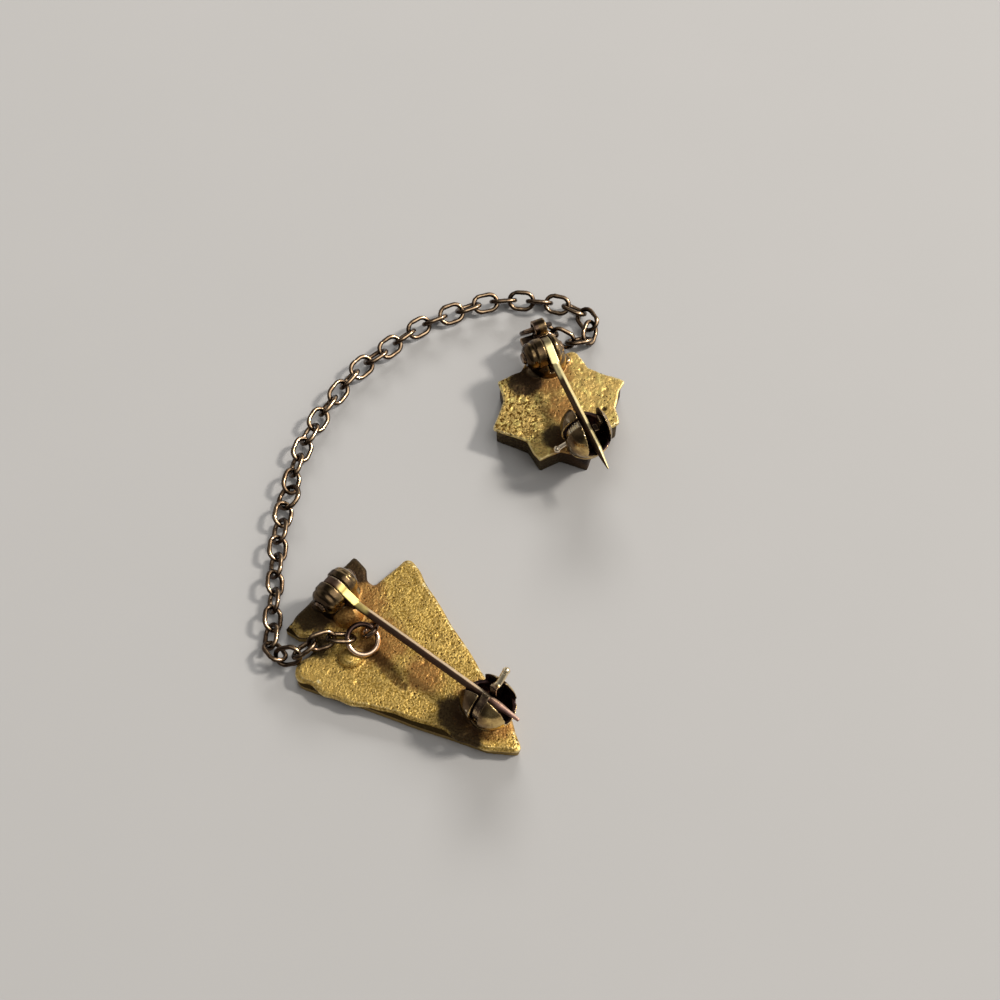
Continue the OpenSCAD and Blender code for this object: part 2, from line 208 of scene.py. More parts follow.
BADGE_BOSS = on_back(badge_pin, 3.6, -2.85)
BADGE_DROPS = (
    Drop(on_back(badge_pin, 0.2, 1.2, 0.05), (0.7, 0.6, 0.25)),
    Drop(on_back(badge_pin, -0.9, -1.0, 0.05), (0.6, 0.6, 0.28)),
    Drop(on_back(badge_pin, 12.5, -0.9), (0.6, 0.8, 0.14), 0.3),
    Drop(on_back(badge_pin, 13.2, 1.15), (0.9, 0.4, 0.12), -0.5),
    Drop(BADGE_BOSS, (1.0, 0.84, 0.56), 0.4),
)
BADGE_SMOOTHER = (
    Smoother(at(badge_pin, 0, 0), 1.8, 3.4),
    Smoother(at(badge_pin, 5.5, 1.0), 1.2, 2.6),
    Smoother(at(badge_pin, 13.9, 0), 1.9, 2.8),
)
BADGE_SCRATCHES = (
    Scratch(laid(-6.4, -11.2), laid(-3.4, -12.9), 0.16, 0.05),
    Scratch(laid(-7.9, -6.9), laid(-6.3, -8.0), 0.12, 0.03),
)
BADGE_HOLES = (
    Hole(laid(-4.4, -11.8), 0.22, 0.08),
    Hole(laid(-10.2, -15.4), 0.2, 0.07),
    Hole(laid(-5.4, -13.9), 0.24, 0.08),
)
BADGE_BROWN = (
    Spot(on_back(badge_pin, 0.6, 0.6), 1.6, 3.8),
    Spot(on_back(badge_pin, 13.7, 0.0), 1.7, 3.3),
    Spot(on_back(badge_pin, 4.5, -0.6), 0.8, 2.8),
    Spot(on_back(badge_pin, 8.5, -0.6), 0.6, 2.4),
)
# Black spots. The first four are painted shadow with tarnish, deepening the cast shadows of the joint,
# the chain and the catch; the last is tarnish on the corner behind the joint.
BADGE_BLACK_TARNISH_AND_SHADOW = (
    Spot(on_back(badge_pin, -0.8, -1.8), 0.8, 2.4),
    Spot(on_back(badge_pin, 1.0, -3.6), 0.3, 1.7),
    Spot(on_back(badge_pin, 12.3, -1.6), 0.8, 2.2),
    Spot(on_back(badge_pin, 13.9, -2.7), 0.5, 1.9),
    Spot(on_back(badge_pin, -0.6, 3.0), 0.7, 1.9),
)
# A painted shadow band below the badge's ring and along the stem, as spots in a row
BADGE_SHADOW_BAND = (
    Spot(on_back(badge_pin, 4.3, -1.5), 0.1, 0.9),
    Spot(on_back(badge_pin, 4.9, -1.65), 0.1, 0.95),
    Spot(on_back(badge_pin, 5.5, -1.8), 0.1, 0.95),
    Spot(on_back(badge_pin, 6.1, -1.95), 0.1, 0.9),
    Spot(on_back(badge_pin, 6.7, -2.1), 0.1, 0.85),
    Spot(on_back(badge_pin, 7.3, -2.2), 0.1, 0.75),
    Spot(on_back(badge_pin, 7.9, -2.3), 0.1, 0.6),
)
# The grain is dark within the first distance of this place, and faint beyond the second
BADGE_COARSE = Spot(laid(-0.5, -11.5), 8.0, 16.0)
# The boss and what lies close before the joint have the plate's gold, and the chain's eye is dark
BADGE_PLAIN_FACES = (
    Faces(BADGE_BOSS, 1.15),
    Faces(on_back(badge_pin, 1.25, -0.4, 0.15), 1.13),
)
BADGE_DARK_FACES = (Faces(on_back(badge_pin, 3.45, -0.45, 0.56), 1.0),)
# The badge's ring turns dark, with tarnish and painted shade, from here to its far side
RING_CHANGE = at(badge_pin, 3.55, -1.47)
# The badge's pin is pink here, towards its point
BADGE_PINK = Spot(at(badge_pin, 17.0, 0, 3.0), 2.0, 3.4)


# The guard's back

GUARD_DROPS = (
    Drop(on_back(guard_pin, 0.5, -1.0, 0.02), (0.8, 0.6, 0.22)),
    Drop(on_back(guard_pin, 0.2, 1.1, 0.02), (0.8, 0.55, 0.22)),
    Drop(on_back(guard_pin, 6.6, -0.9), (0.5, 0.8, 0.14), 0.2),
)
GUARD_SMOOTHER = (
    Smoother(at(guard_pin, 0, 0), 1.6, 2.8),
    Smoother(at(guard_pin, 8.0, -0.2), 1.7, 2.4),
)
GUARD_SCRATCHES = (Scratch(laid(7.05, 10.75), laid(7.35, 10.2), 0.16, 0.08),)
GUARD_HOLES = (
    Hole(laid(7.95, 6.8), 0.26, 0.12),
    Hole(laid(6.2, 10.3), 0.2, 0.06),
)
GUARD_BROWN = (
    Spot(on_back(guard_pin, 0.4, -0.6), 1.5, 3.2),
    Spot(on_back(guard_pin, 4.2, -0.6), 0.4, 2.0),
    Spot(on_back(guard_pin, 7.7, -0.3), 1.6, 3.1),
)
# The first three are painted shadow with tarnish, deepening the cast shadows of the joint and the
# catch. The last two are the deeper hole and the star's left point
GUARD_BLACK_TARNISH_AND_SHADOW = (
    Spot(on_back(guard_pin, 0.9, -2.2), 0.8, 1.9),
    Spot(on_back(guard_pin, 6.4, -1.9), 0.5, 1.6),
    Spot(on_back(guard_pin, 9.2, -0.6), 0.8, 1.9),
    Spot(laid(7.95, 6.8, GUARD_BACK - 0.1), 0.1, 0.34),
    Spot(laid(-0.9, 10.0, GUARD_BACK), 0.1, 1.0),
)
GUARD_COARSE = Spot(laid(0.2, 7.0, GUARD_BACK), 2.0, 5.5)
# The chain's tube is dark
GUARD_DARK_FACES = (Faces(on_back(guard_pin, -2.5, -1.0, 0.9), 1.5),)


# Shapes: the worn pieces are made from the exact solids, with their edges worn round, their corners
# filled with solder and their surfaces uneven, as on hand-made metal

# Random lumps: how far apart the patterns of two seeds lie, and the numbers that scatter a cell's
# place into a random height
SEED_STEP = 13.7
CELL_FACTORS = (73856093, 19349663, 83492791)
SCATTER = ((15, 0x2C1B3C6D), (12, 0x297A2D39))
LOW_BITS = 0xFFFFFFFF
LAST_BITS = 0xFFFF


def lumps(points, size, seed):
    """Smooth random heights between -1 and 1 with lumps of a given size.

    Each point lies in a cell of a grid, and each of the cell's eight corners has a random height."""
    spot = np.asarray(points) / size + SEED_STEP * (seed + 1)
    corner = np.floor(spot)
    part = spot - corner
    part = part * part * (3 - 2 * part)
    corner = corner.astype(np.int64)
    total = np.zeros(len(spot))
    for i in range(8):
        step = np.array([i & 1, i >> 1 & 1, i >> 2 & 1])
        mixed = np.bitwise_xor.reduce((corner + step) * CELL_FACTORS, axis=1) & LOW_BITS
        for shift, factor in SCATTER:
            mixed = (mixed ^ mixed >> shift) * factor & LOW_BITS
        value = ((mixed ^ mixed >> 15) & LAST_BITS) / (LAST_BITS / 2) - 1
        total += value * np.prod(np.where(step == 1, part, 1 - part), axis=1)
    return total


def ease(value, low, high):
    """0 below low, 1 above high, smooth between."""
    t = np.clip((value - low) / (high - low), 0, 1)
    return t * t * (3 - 2 * t)


def rows_of(items, attribute):
    """A vector of each of a mesh's vertices or faces, as the rows of an array."""
    values = np.empty(len(items) * 3)
    items.foreach_get(attribute, values)
    return values.reshape(-1, 3)


def welded(node):
    """The form of a CAD node, in millimetres."""
    form = bmesh.new()
    form.from_mesh(nodes[node].data)
    bmesh.ops.scale(form, vec=(1 / MM, 1 / MM, 1 / MM), verts=form.verts)
    bmesh.ops.remove_doubles(form, verts=form.verts, dist=WELD)
    return form


def solder(form, drop):
    """Adds a rounded lump of solder."""
    turned = Matrix.Translation(drop.place) @ Matrix.Rotation(drop.turn, 4, "Z")
    matrix = turned @ Matrix.Diagonal((*drop.radii, 1.0))
    bmesh.ops.create_icosphere(form, subdivisions=3, radius=1.0, matrix=matrix)


def stand_in(mesh, node, body, slot):
    """The piece that stands for a node and rides on its body."""
    name = node + "_worn"
    mesh.name = name
    mesh.polygons.foreach_set("use_smooth", [True] * len(mesh.polygons))
    piece = bpy.data.objects.new(name, mesh)
    bpy.context.scene.collection.objects.link(piece)
    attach(piece, body)
    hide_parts(node)
    return piece


def worn_copy(node, body, slot, voxel, rounds, shaping, drops=()):
    """Stands for a node: its solid remeshed finely, with soft edges and an uneven surface."""
    form = welded(node)
    for drop in drops:
        solder(form, drop)
    solid = bpy.data.meshes.new(node + "_solid")
    form.to_mesh(solid)
    form.free()
    rough = bpy.data.objects.new(node + "_rough", solid)
    bpy.context.scene.collection.objects.link(rough)
    remesh = rough.modifiers.new("Remesh", "REMESH")
    remesh.mode = "VOXEL"
    remesh.voxel_size = voxel
    smooth = rough.modifiers.new("Smooth", "SMOOTH")
    smooth.factor = 0.5
    smooth.iterations = rounds
    bpy.context.view_layer.update()
    view = bpy.context.evaluated_depsgraph_get()
    fine = bpy.data.meshes.new_from_object(rough.evaluated_get(view))
    bpy.data.objects.remove(rough)
    bpy.data.meshes.remove(solid)
    points = shaping(rows_of(fine.vertices, "co"), rows_of(fine.vertices, "normal"))
    fine.vertices.foreach_set("co", (points * MM).ravel())
    fine.update()
    return stand_in(fine, node, body, slot)


def islands(form):
    """Groups of joined vertices, one array of points for each."""
    seen = set()
    groups = []
    for first in form.verts:
        if first in seen:
            continue
        seen.add(first)
        group = []
        edge = [first]
        while edge:
            here = edge.pop()
            group.append(here.co[:])
            for line in here.link_edges:
                there = line.other_vert(here)
                if there not in seen:
                    seen.add(there)
                    edge.append(there)
        groups.append(np.array(group))
    return groups


def bent_link(mesh, middle, along, across, length, width, wire, seam, turn):
    """One oval of round wire. Its seam is at a share of the way round, and turn makes it uneven."""
    up = along.cross(across)
    bend = (width - wire) / 2
    straight = (length - width) / 2
    quarter = math.pi * bend
    rim = 2 * math.pi * bend + 4 * straight
    rings = []
    for i in range(LINK_STEPS):
        # The place on the oval's middle line and the angle that points outwards there: first on the
        # bend at its end, then on a side, the other bend and the other side
        s = rim * i / LINK_STEPS
        if s < quarter:
            a = s / bend - math.pi / 2
            x, y = straight + bend * math.cos(a), bend * math.sin(a)
        elif s < quarter + 2 * straight:
            a = math.pi / 2
            x, y = straight - (s - quarter), bend
        elif s < 2 * quarter + 2 * straight:
            a = (s - quarter - 2 * straight) / bend + math.pi / 2
            x, y = -straight + bend * math.cos(a), bend * math.sin(a)
        else:
            a = -math.pi / 2
            x, y = -straight + (s - 2 * quarter - 2 * straight), -bend
        out = along * math.cos(a) + across * math.sin(a)
        center = middle + along * x + across * y
        gap = abs((s / rim - seam + 0.5) % 1 - 0.5) * rim
        groove = SEAM_DEPTH * math.exp(-(gap / SEAM_WIDTH) ** 2)
        thick = wire / 2 * (1 - groove + WIRE_UNEVEN * math.sin(turn + 5 * s))
        rings.append([
            mesh.verts.new(center + (out * math.cos(t) + up * math.sin(t)) * thick)
            for t in (2 * math.pi * k / LINK_SIDES for k in range(LINK_SIDES))
        ])
    for i, ring in enumerate(rings):
        after = rings[(i + 1) % LINK_STEPS]
        for k in range(LINK_SIDES):
            j = (k + 1) % LINK_SIDES
            mesh.faces.new((ring[k], ring[j], after[j], after[k]))


def worn_chain(node, body, slot):
    """The chain with hand-bent links of heavier wire, each where the solid chain has it."""
    solid = welded(node)
    mesh = bmesh.new()
    for i, points in enumerate(islands(solid)):
        middle = points.mean(0)
        ways = np.linalg.svd(points - middle, full_matrices=False)[2]
        size = np.ptp((points - middle) @ ways.T, axis=0)
        length, width, wire = LINK_LENGTH, LINK_WIDTH, LINK_WIRE
        if size[0] - size[1] < MENDED_ROUND:
            length, width, wire = size[0] + MENDED_LONGER, size[0] + MENDED_WIDER, wire * MENDED_WIRE
        # The links differ a little in length, width and the place of the seam
        bent_link(
            mesh, Vector(middle), Vector(ways[0]).normalized(), Vector(ways[1]).normalized(),
            length=length * (1 + 0.012 * math.sin(7 * i)), width=width * (1 + 0.02 * math.sin(5 * i)),
            wire=wire, seam=0.37 + 0.2 * math.sin(3 * i), turn=i,
        )
    solid.free()
    bmesh.ops.recalc_face_normals(mesh, faces=mesh.faces)
    bmesh.ops.scale(mesh, vec=(MM, MM, MM), verts=mesh.verts)
    data = bpy.data.meshes.new(node)
    mesh.to_mesh(data)
    mesh.free()
    return stand_in(data, node, body, slot)


def uneven(points, normals, size, depth, seed):
    """Moves the surface in and out a little."""
    return points + normals * (lumps(points, size, seed) * depth)[:, None]


def ragged_rim(points, normals, low, high, size, depth, reach, seed):
    """Moves the outer edge between two heights in and out a little, and what is near it less."""
    wall = (points[:, 2] > low) & (points[:, 2] < high) & (np.abs(normals[:, 2]) < 0.5)
    found = np.flatnonzero(wall)
    tree = KDTree(len(found))
    for i in found:
        tree.insert(points[i], i)
    tree.balance()
    flat = normals.copy()
    flat[:, 2] = 0
    flat /= np.maximum(np.linalg.norm(flat, axis=1), 1e-6)[:, None]
    push = lumps(points * (1, 1, 0), size, seed) * depth
    moved = points.copy()
    for i in np.flatnonzero((points[:, 2] > low - 0.1) & (points[:, 2] < high + 0.3)):
        _, nearest, distance = tree.find(points[i])
        if distance < reach:
            share = 1 - distance / reach
            moved[i] += flat[nearest] * push[nearest] * share
    return moved


def away_from(points, place):
    """Distance in plan from each point to a place."""
    return np.linalg.norm(points[:, :2] - np.array(place)[:2], axis=1)


def near_line(points, start, end):
    """Distance in plan from each point to a line between two places."""
    a = np.array(start)[:2]
    b = np.array(end)[:2]
    way = b - a
    share = np.clip((points[:, :2] - a) @ way / (way @ way), 0, 1)
    return np.linalg.norm(points[:, :2] - a - share[:, None] * way, axis=1)


def sandy_back(points, normals, back, grain_size, smoother, scratches, holes):
    """Stipple, pits, scratches and holes on a plate's back, away from what is soldered to it."""
    # 1 on the back itself, 0 on the sides and on what stands on it
    top = ease(normals[:, 2], 0.6, 0.9) * ease(points[:, 2], back - 0.12, back - 0.05)
    top = top * (1 - ease(points[:, 2], back + 0.04, back + 0.1))
    for place, inner, outer in smoother:
        top = top * (0.25 + 0.75 * ease(away_from(points, place), inner, outer))
    grain = lumps(points, grain_size, 1) * 0.6 + lumps(points, 0.6 * grain_size, 2) * 0.4
    pits = ease(lumps(points, 0.3, 3), 0.45, 0.8)
    height = grain * grain_size * GRAIN_DEPTH - pits * PIT_DEPTH + lumps(points, 2.6, 4) * SWELL_DEPTH
    for start, end, width, depth in scratches:
        height = height - depth * (1 - ease(near_line(points, start, end), 0, width))
    for place, radius, depth in holes:
        height = height - depth * (1 - ease(away_from(points, place), radius * 0.4, radius))
    moved = points.copy()
    moved[:, 2] += height * top
    return moved


def resting(points):
    """Keeps a plate's flat front on the surface."""
    height = points[:, 2]
    points[:, 2] = np.where(height < FRONT_BAND, np.maximum(height - FRONT_DROP, 0.0), height)
    return points


def badge_shape(points, normals):
    """The badge's sandy back, and its rim, which is most ragged on the side near the camera."""
    points = sandy_back(points, normals, BADGE_BACK, BADGE_GRAIN,
                        BADGE_SMOOTHER, BADGE_SCRATCHES, BADGE_HOLES)
    near_side = ease(-(points - np.array(badge_pin.start)) @ np.array(badge_pin.across), 1.5, 4.0)
    points = ragged_rim(points, normals, BADGE_BACK - SHEET, BADGE_BACK,
                        size=1.6, depth=0.12 + 0.33 * near_side, reach=0.9, seed=5)
    points = ragged_rim(points, normals, 0.05, BADGE_BACK - SHEET - 0.03,
                        size=2.1, depth=0.06, reach=0.4, seed=6)
    return resting(uneven(points, normals, 0.7, 0.014, seed=7))


def guard_shape(points, normals):
    """The guard's sandy back and its ragged rim."""
    points = sandy_back(points, normals, GUARD_BACK, GUARD_GRAIN,
                        GUARD_SMOOTHER, GUARD_SCRATCHES, GUARD_HOLES)
    points = ragged_rim(points, normals, GUARD_BACK - SHEET, GUARD_BACK,
                        size=1.1, depth=0.14, reach=0.5, seed=8)
    return resting(uneven(points, normals, 0.7, 0.014, seed=9))


def pin_shape(points, normals):
    """A slightly uneven pin."""
    return uneven(points, normals, 0.9, 0.01, seed=10)


def small_shape(points, normals):
    """The slightly uneven surface of a collar or rivet."""
    return uneven(points, normals, 0.4, 0.008, seed=11)


def toothed_collar(points, normals):
    """Teeth on the guard's collar, beside its gap."""
    away = points - np.array(guard_pin.catch)
    across = np.array(guard_pin.across)
    side = away @ across
    turn = np.degrees(np.arctan2(away[:, 2], side))
    radius = np.hypot(away[:, 2], side)
    teeth = ease(turn, TEETH_FIRST - 1, TEETH_FIRST + 1) * (1 - ease(turn, TEETH_LAST, TEETH_LAST + 3))
    teeth = teeth * ease(radius, *TEETH_INSIDE) * (radius < TEETH_OUTSIDE)
    notch = 0.5 - 0.5 * np.cos(np.radians((turn - TEETH_FIRST) * 360 / TOOTH_STEP))
    way = np.outer(side, across) + np.outer(away[:, 2], UP)
    way /= np.maximum(np.linalg.norm(way, axis=1), 1e-6)[:, None]
    moved = points - way * (teeth * notch * TOOTH_DEPTH)[:, None]
    return uneven(moved, normals, 0.4, 0.008, seed=12)


def thick_ring(points, normals):
    """A jump ring of heavier wire."""
    return uneven(points + normals * RING_SWELL, normals, 0.5, 0.012, seed=13)


# Materials

# Colours of tarnish and dirt, and of painted shade and painted shadow
BROWN_TARNISH = (0.42, 0.19, 0.06)
SHADOW_BAND_COLOR = (0.1, 0.045, 0.015)
BLACK_TARNISH_AND_SHADOW = (0.04, 0.024, 0.016)
CREVICE_DIRT_AND_SHADE = (0.07, 0.035, 0.014)
PIT_DIRT = (0.1, 0.05, 0.015)
SEAM_SHADE = (0.03, 0.017, 0.008)
PIN_TARNISH_AND_SHADE = (0.055, 0.02, 0.013)
SHELL_SHADE = (0.075, 0.045, 0.026)
CHAIN_TARNISH_AND_SHADE = (0.032, 0.017, 0.01)
JOINT_SHADE = (0.045, 0.028, 0.017)
RING_TARNISH_AND_SHADE = (0.07, 0.04, 0.03)
# Colours of places that are rubbed bright, some of them also painted highlights
RUBBED_GOLD_AND_HIGHLIGHT = (1.0, 0.84, 0.45)
RUBBED_SHELL_AND_HIGHLIGHT = (0.75, 0.6, 0.42)
BADGE_TONGUE = (0.8, 0.63, 0.22)
BADGE_LEVER_WEAR_AND_HIGHLIGHT = (0.95, 0.78, 0.5)
GUARD_TONGUE = (0.95, 0.8, 0.4)
GUARD_LEVER_WEAR_AND_HIGHLIGHT = (0.8, 0.66, 0.48)
GUARD_TEETH_WEAR_AND_HIGHLIGHT = (1.0, 0.86, 0.6)
# The pink part of the badge's pin, and the plain worn gold of the hidden fronts
PINK_GOLD = (0.85, 0.5, 0.4)
FRONT_GOLD = (0.86, 0.6, 0.24)
FRONT_DULL = (0.6, 0.38, 0.14)


class Graph:
    """Builds a material's nodes. Sizes are in millimetres on the object."""

    def __init__(self, name):
        self.material = bpy.data.materials.new(name)
        self.material.use_nodes = True
        self.tree = self.material.node_tree
        self.shader = self.tree.nodes["Principled BSDF"]
        self.place = self.node("ShaderNodeTexCoord").outputs["Object"]

    def node(self, kind, **settings):
        """Adds a node with its settings."""
        made = self.tree.nodes.new(kind)
        for key, value in settings.items():
            setattr(made, key, value)
        return made

    def put(self, socket, value):
        """Links an output to a socket, or sets the socket's own value."""
        if isinstance(value, bpy.types.NodeSocket):
            self.tree.links.new(value, socket)
        else:
            socket.default_value = value

    def math(self, operation, a, b):
        """The result of an operation on two numbers or outputs."""
        made = self.node("ShaderNodeMath", operation=operation)
        self.put(made.inputs[0], a)
        self.put(made.inputs[1], b)
        return made.outputs[0]

    def plus(self, a, b):
        return self.math("ADD", a, b)

    def minus(self, a, b):
        return self.math("SUBTRACT", a, b)

    def times(self, a, b):
        return self.math("MULTIPLY", a, b)

    def most(self, a, b):
        return self.math("MAXIMUM", a, b)

    def stretch(self, value, low, high, to_low=0.0, to_high=1.0):
        """Changes smoothly from one result to the other as a value goes from low to high."""
        made = self.node("ShaderNodeMapRange", interpolation_type="SMOOTHSTEP")
        for name, number in (("Value", value), ("From Min", low), ("From Max", high),
                             ("To Min", to_low), ("To Max", to_high)):
            self.put(made.inputs[name], number)
        return made.outputs["Result"]

    def noise(self, size, detail=3.0, rough=0.55):
        """Random clouds of a size, about 0.5 in the middle."""
        made = self.node("ShaderNodeTexNoise")
        self.put(made.inputs["Vector"], self.place)
        self.put(made.inputs["Scale"], 1 / (size * MM))
        self.put(made.inputs["Detail"], detail)
        self.put(made.inputs["Roughness"], rough)
        return made.outputs["Fac"]

    def cells(self, size):
        """Distance from the nearest of random points, which lie about a size apart."""
        made = self.node("ShaderNodeTexVoronoi")
        self.put(made.inputs["Vector"], self.place)
        self.put(made.inputs["Scale"], 1 / (size * MM))
        return made.outputs["Distance"]

    def ragged(self, share, noise, amount=1.0):
        """A share whose borders are uneven."""
        return self.plus(share, self.times(self.minus(noise, 0.5), amount))

    def mix(self, share, a, b):
        """Colour a where the share is 0, colour b where it is 1."""
        made = self.node("ShaderNodeMix", data_type="RGBA")
        self.put(made.inputs["Factor"], share)
        self.put(made.inputs["A"], (*a, 1.0) if isinstance(a, tuple) else a)
        self.put(made.inputs["B"], (*b, 1.0) if isinstance(b, tuple) else b)
        return made.outputs["Result"]

    def cover(self, color, share, strength, other):
        """A colour with another over it, where a share says and as strongly as given."""
        return self.mix(self.times(share, strength), color, other)

    def height(self):
        """Height above the surface, in metres."""
        made = self.node("ShaderNodeSeparateXYZ")
        self.put(made.inputs[0], self.place)
        return made.outputs["Z"]

    def above(self, low, high):
        """1 above the higher of two heights, 0 below the lower."""
        return self.stretch(self.height(), low * MM, high * MM)

    def below(self, low, high):
        """1 below the lower of two heights, 0 above the higher."""
        return self.stretch(self.height(), low * MM, high * MM, 1.0, 0.0)

    def near(self, point, inner, outer):
        """1 within the inner distance of a point, 0 beyond the outer."""
        made = self.node("ShaderNodeVectorMath", operation="DISTANCE")
        self.put(made.inputs[0], self.place)
        made.inputs[1].default_value = point * MM
        return self.stretch(made.outputs["Value"], inner * MM, outer * MM, 1.0, 0.0)

    def beyond(self, point, way, low, high):
        """0 behind a point as seen along a way, 1 beyond it, changing between two distances."""
        made = self.node("ShaderNodeVectorMath", operation="SUBTRACT")
        self.put(made.inputs[0], self.place)
        made.inputs[1].default_value = point * MM
        dot = self.node("ShaderNodeVectorMath", operation="DOT_PRODUCT")
        self.put(dot.inputs[0], made.outputs["Vector"])
        dot.inputs[1].default_value = way.normalized()
        return self.stretch(dot.outputs["Value"], low * MM, high * MM)

    def facing(self, way, low, high):
        """1 on faces that face a way, 0 on the others."""
        dot = self.node("ShaderNodeVectorMath", operation="DOT_PRODUCT")
        self.put(dot.inputs[0], self.node("ShaderNodeTexCoord").outputs["Normal"])
        dot.inputs[1].default_value = way.normalized()
        return self.stretch(dot.outputs["Value"], low, high)

    def crevice(self, reach):
        """0 in the open, 1 deep in a crevice."""
        made = self.node("ShaderNodeAmbientOcclusion", samples=6)
        made.inputs["Distance"].default_value = reach * MM
        return self.stretch(made.outputs["AO"], 0.25, 0.95, 1.0, 0.0)

    def edges(self, low=0.51, high=0.58):
        """1 on rounded outer edges, which are rubbed bright."""
        return self.stretch(self.node("ShaderNodeNewGeometry").outputs["Pointiness"], low, high)

    def spots(self, places, low, high, unevenness=1.8):
        """Ragged spots, 1 in their middles and 0 away from them."""
        share = 0.0
        for spot in places:
            share = self.most(share, self.near(*spot))
        ragged = self.ragged(share, self.noise(1.1, 5, 0.7), unevenness)
        return self.times(self.stretch(ragged, low, high), self.stretch(share, 0.02, 0.3))

    def bump(self, height, depth, strength, under=None):
        """Normals of a surface with a height, over those of an earlier bump where there is one."""
        made = self.node("ShaderNodeBump")
        self.put(made.inputs["Height"], height)
        made.inputs["Distance"].default_value = depth * MM
        made.inputs["Strength"].default_value = strength
        if under is not None:
            self.put(made.inputs["Normal"], under)
        return made.outputs["Normal"]

    def finish(self, color, rough, normal, metallic=1.0):
        """Gives the shader its inputs, and returns the material."""
        self.put(self.shader.inputs["Base Color"], color)
        self.put(self.shader.inputs["Roughness"], rough)
        self.put(self.shader.inputs["Normal"], normal)
        self.shader.inputs["Metallic"].default_value = metallic
        return self.material


def sandy_gold(name, back, bright, side, grain_size, dark_grain, coarse, brown, black, shadow_band=()):
    """Matt, pitted gold of the plates' backs, browned and blackened round what is soldered to them with
    tarnish and painted shadow.
    """
    g = Graph(name)
    cloud = g.noise(2.6, 4)
    grain = g.noise(grain_size, 2, 0.6)
    pits = g.stretch(g.cells(0.3), 0.14, 0.32, 1.0, 0.0)
    pits = g.times(pits, g.stretch(g.noise(0.9, 2), 0.46, 0.56))
    # The plate's side below its sheet, darkened as painted shade, and the seam between the two,
    # darkened as painted shade
    below = g.below(back - 0.36, back - 0.3)
    seam = g.times(below, g.above(back - 0.62, back - 0.46))
    duller = tuple(0.8 * part for part in bright)
    paler = tuple(min(1.0, 1.2 * part) for part in bright)
    color = g.mix(g.stretch(cloud, 0.35, 0.65), duller, bright)
    color = g.mix(g.stretch(g.noise(0.7), 0.45, 0.7), color, paler)
    # Away from the coarse place the grain is faint
    plain = g.times(g.minus(1.0, g.near(*coarse)), 0.72)
    color = g.mix(g.most(g.stretch(grain, 0.38, 0.56), plain), dark_grain, color)
    # Over the gold: rubbed edges with a painted rim highlight, brown tarnish, the painted shadow band,
    # black tarnish with painted shadow, dirt and painted shade in crevices, dirt in pits, the side
    # darkened as painted shade, and painted shade in the seam
    for share, strength, other in (
        (g.edges(0.51, 0.56), 0.8, RUBBED_GOLD_AND_HIGHLIGHT),
        (g.spots(brown, 0.1, 1.0), 0.75, BROWN_TARNISH),
        (g.spots(shadow_band, 0.1, 0.9, 0.7), 0.8, SHADOW_BAND_COLOR),
        (g.spots(black, 0.15, 0.8), 0.93, BLACK_TARNISH_AND_SHADOW),
        (g.crevice(0.6), 0.7, CREVICE_DIRT_AND_SHADE),
        (pits, 0.85, PIT_DIRT),
        (below, 0.9, side),
        (seam, 0.85, SEAM_SHADE),
    ):
        color = g.cover(color, share, strength, other)
    # The hidden front is plain worn gold
    front = g.times(g.facing(-UP, 0.6, 0.9), g.below(0.05, 0.3))
    color = g.mix(front, color, g.mix(g.stretch(cloud, 0.4, 0.7), FRONT_GOLD, FRONT_DULL))
    rough = g.stretch(grain, 0.3, 0.7, 0.62, 0.46)
    normal = g.bump(grain, 0.06, 0.9)
    normal = g.bump(g.minus(1.0, pits), 0.05, 0.8, normal)
    return g.finish(color, rough, normal)


def worn_metal(name, bright, dull, dark, share, rough, rubbed=0.8, parts=None):
    """Smooth metal with tarnish in patches, dark in crevices as tarnish and painted shade, bright where
    it is rubbed.

    share says how much of it is dull, and rough holds the roughness of its bright and its dull places.
    parts gives further colours and where they are."""
    g = Graph(name)
    cloud = g.noise(1.3, 4)
    fine = g.noise(0.22, 4, 0.65)
    polish = g.plus(g.times(cloud, 0.75), g.times(fine, 0.25))
    color = g.mix(g.stretch(polish, share - 0.1, share + 0.12), dull, bright)
    color = g.mix(g.stretch(fine, 0.62, 0.72), color, dark)
    # Crevices darken, as dirt and painted shade
    color = g.mix(g.crevice(0.45), color, dark)
    color = g.cover(color, g.edges(), rubbed, bright)
    if parts:
        for where, other in parts(g):
            color = g.mix(where, color, other)
    roughness = g.stretch(polish, 0.35, 0.65, rough[1], rough[0])
    normal = g.bump(cloud, 0.05, 0.5)
    normal = g.bump(fine, 0.006, 0.7, normal)
    return g.finish(color, roughness, normal)


def tarnished_and_shaded_sides(pin, low, tongue_gold):
    """Tarnish and painted shade on the near side of a pin and below it, and the colour of its rubbed
    tongue.

    The tarnish and shade begin on faces whose direction has a cosine of low with the near side's."""
    way = Vector((-pin.across.x, -pin.across.y, -0.25))
    tongue = at(pin, TONGUE_MIDDLE, 0, pin.catch.z)

    def parts(g):
        """Each share of the pin, and its colour."""
        yield g.times(g.facing(way, low, low + 0.3), 0.95), PIN_TARNISH_AND_SHADE
        yield g.times(g.near(tongue, 1.3, 1.8), g.facing(UP, 0.3, 0.8)), tongue_gold
    return parts


def badge_pin_parts(g):
    """The badge's pin has tarnish and painted shade on its side, and is pink towards its point."""
    yield from tarnished_and_shaded_sides(badge_pin, -0.5, BADGE_TONGUE)(g)
    yield g.times(g.near(*BADGE_PINK), 0.6), PINK_GOLD


def badge_lever_parts(g):
    """The end of the badge's thumb lever is rubbed bright, with a painted highlight."""
    yield g.near(round_catch(badge_pin, LEVER_TURN, LEVER_REACH), 0.75, 1.0), BADGE_LEVER_WEAR_AND_HIGHLIGHT


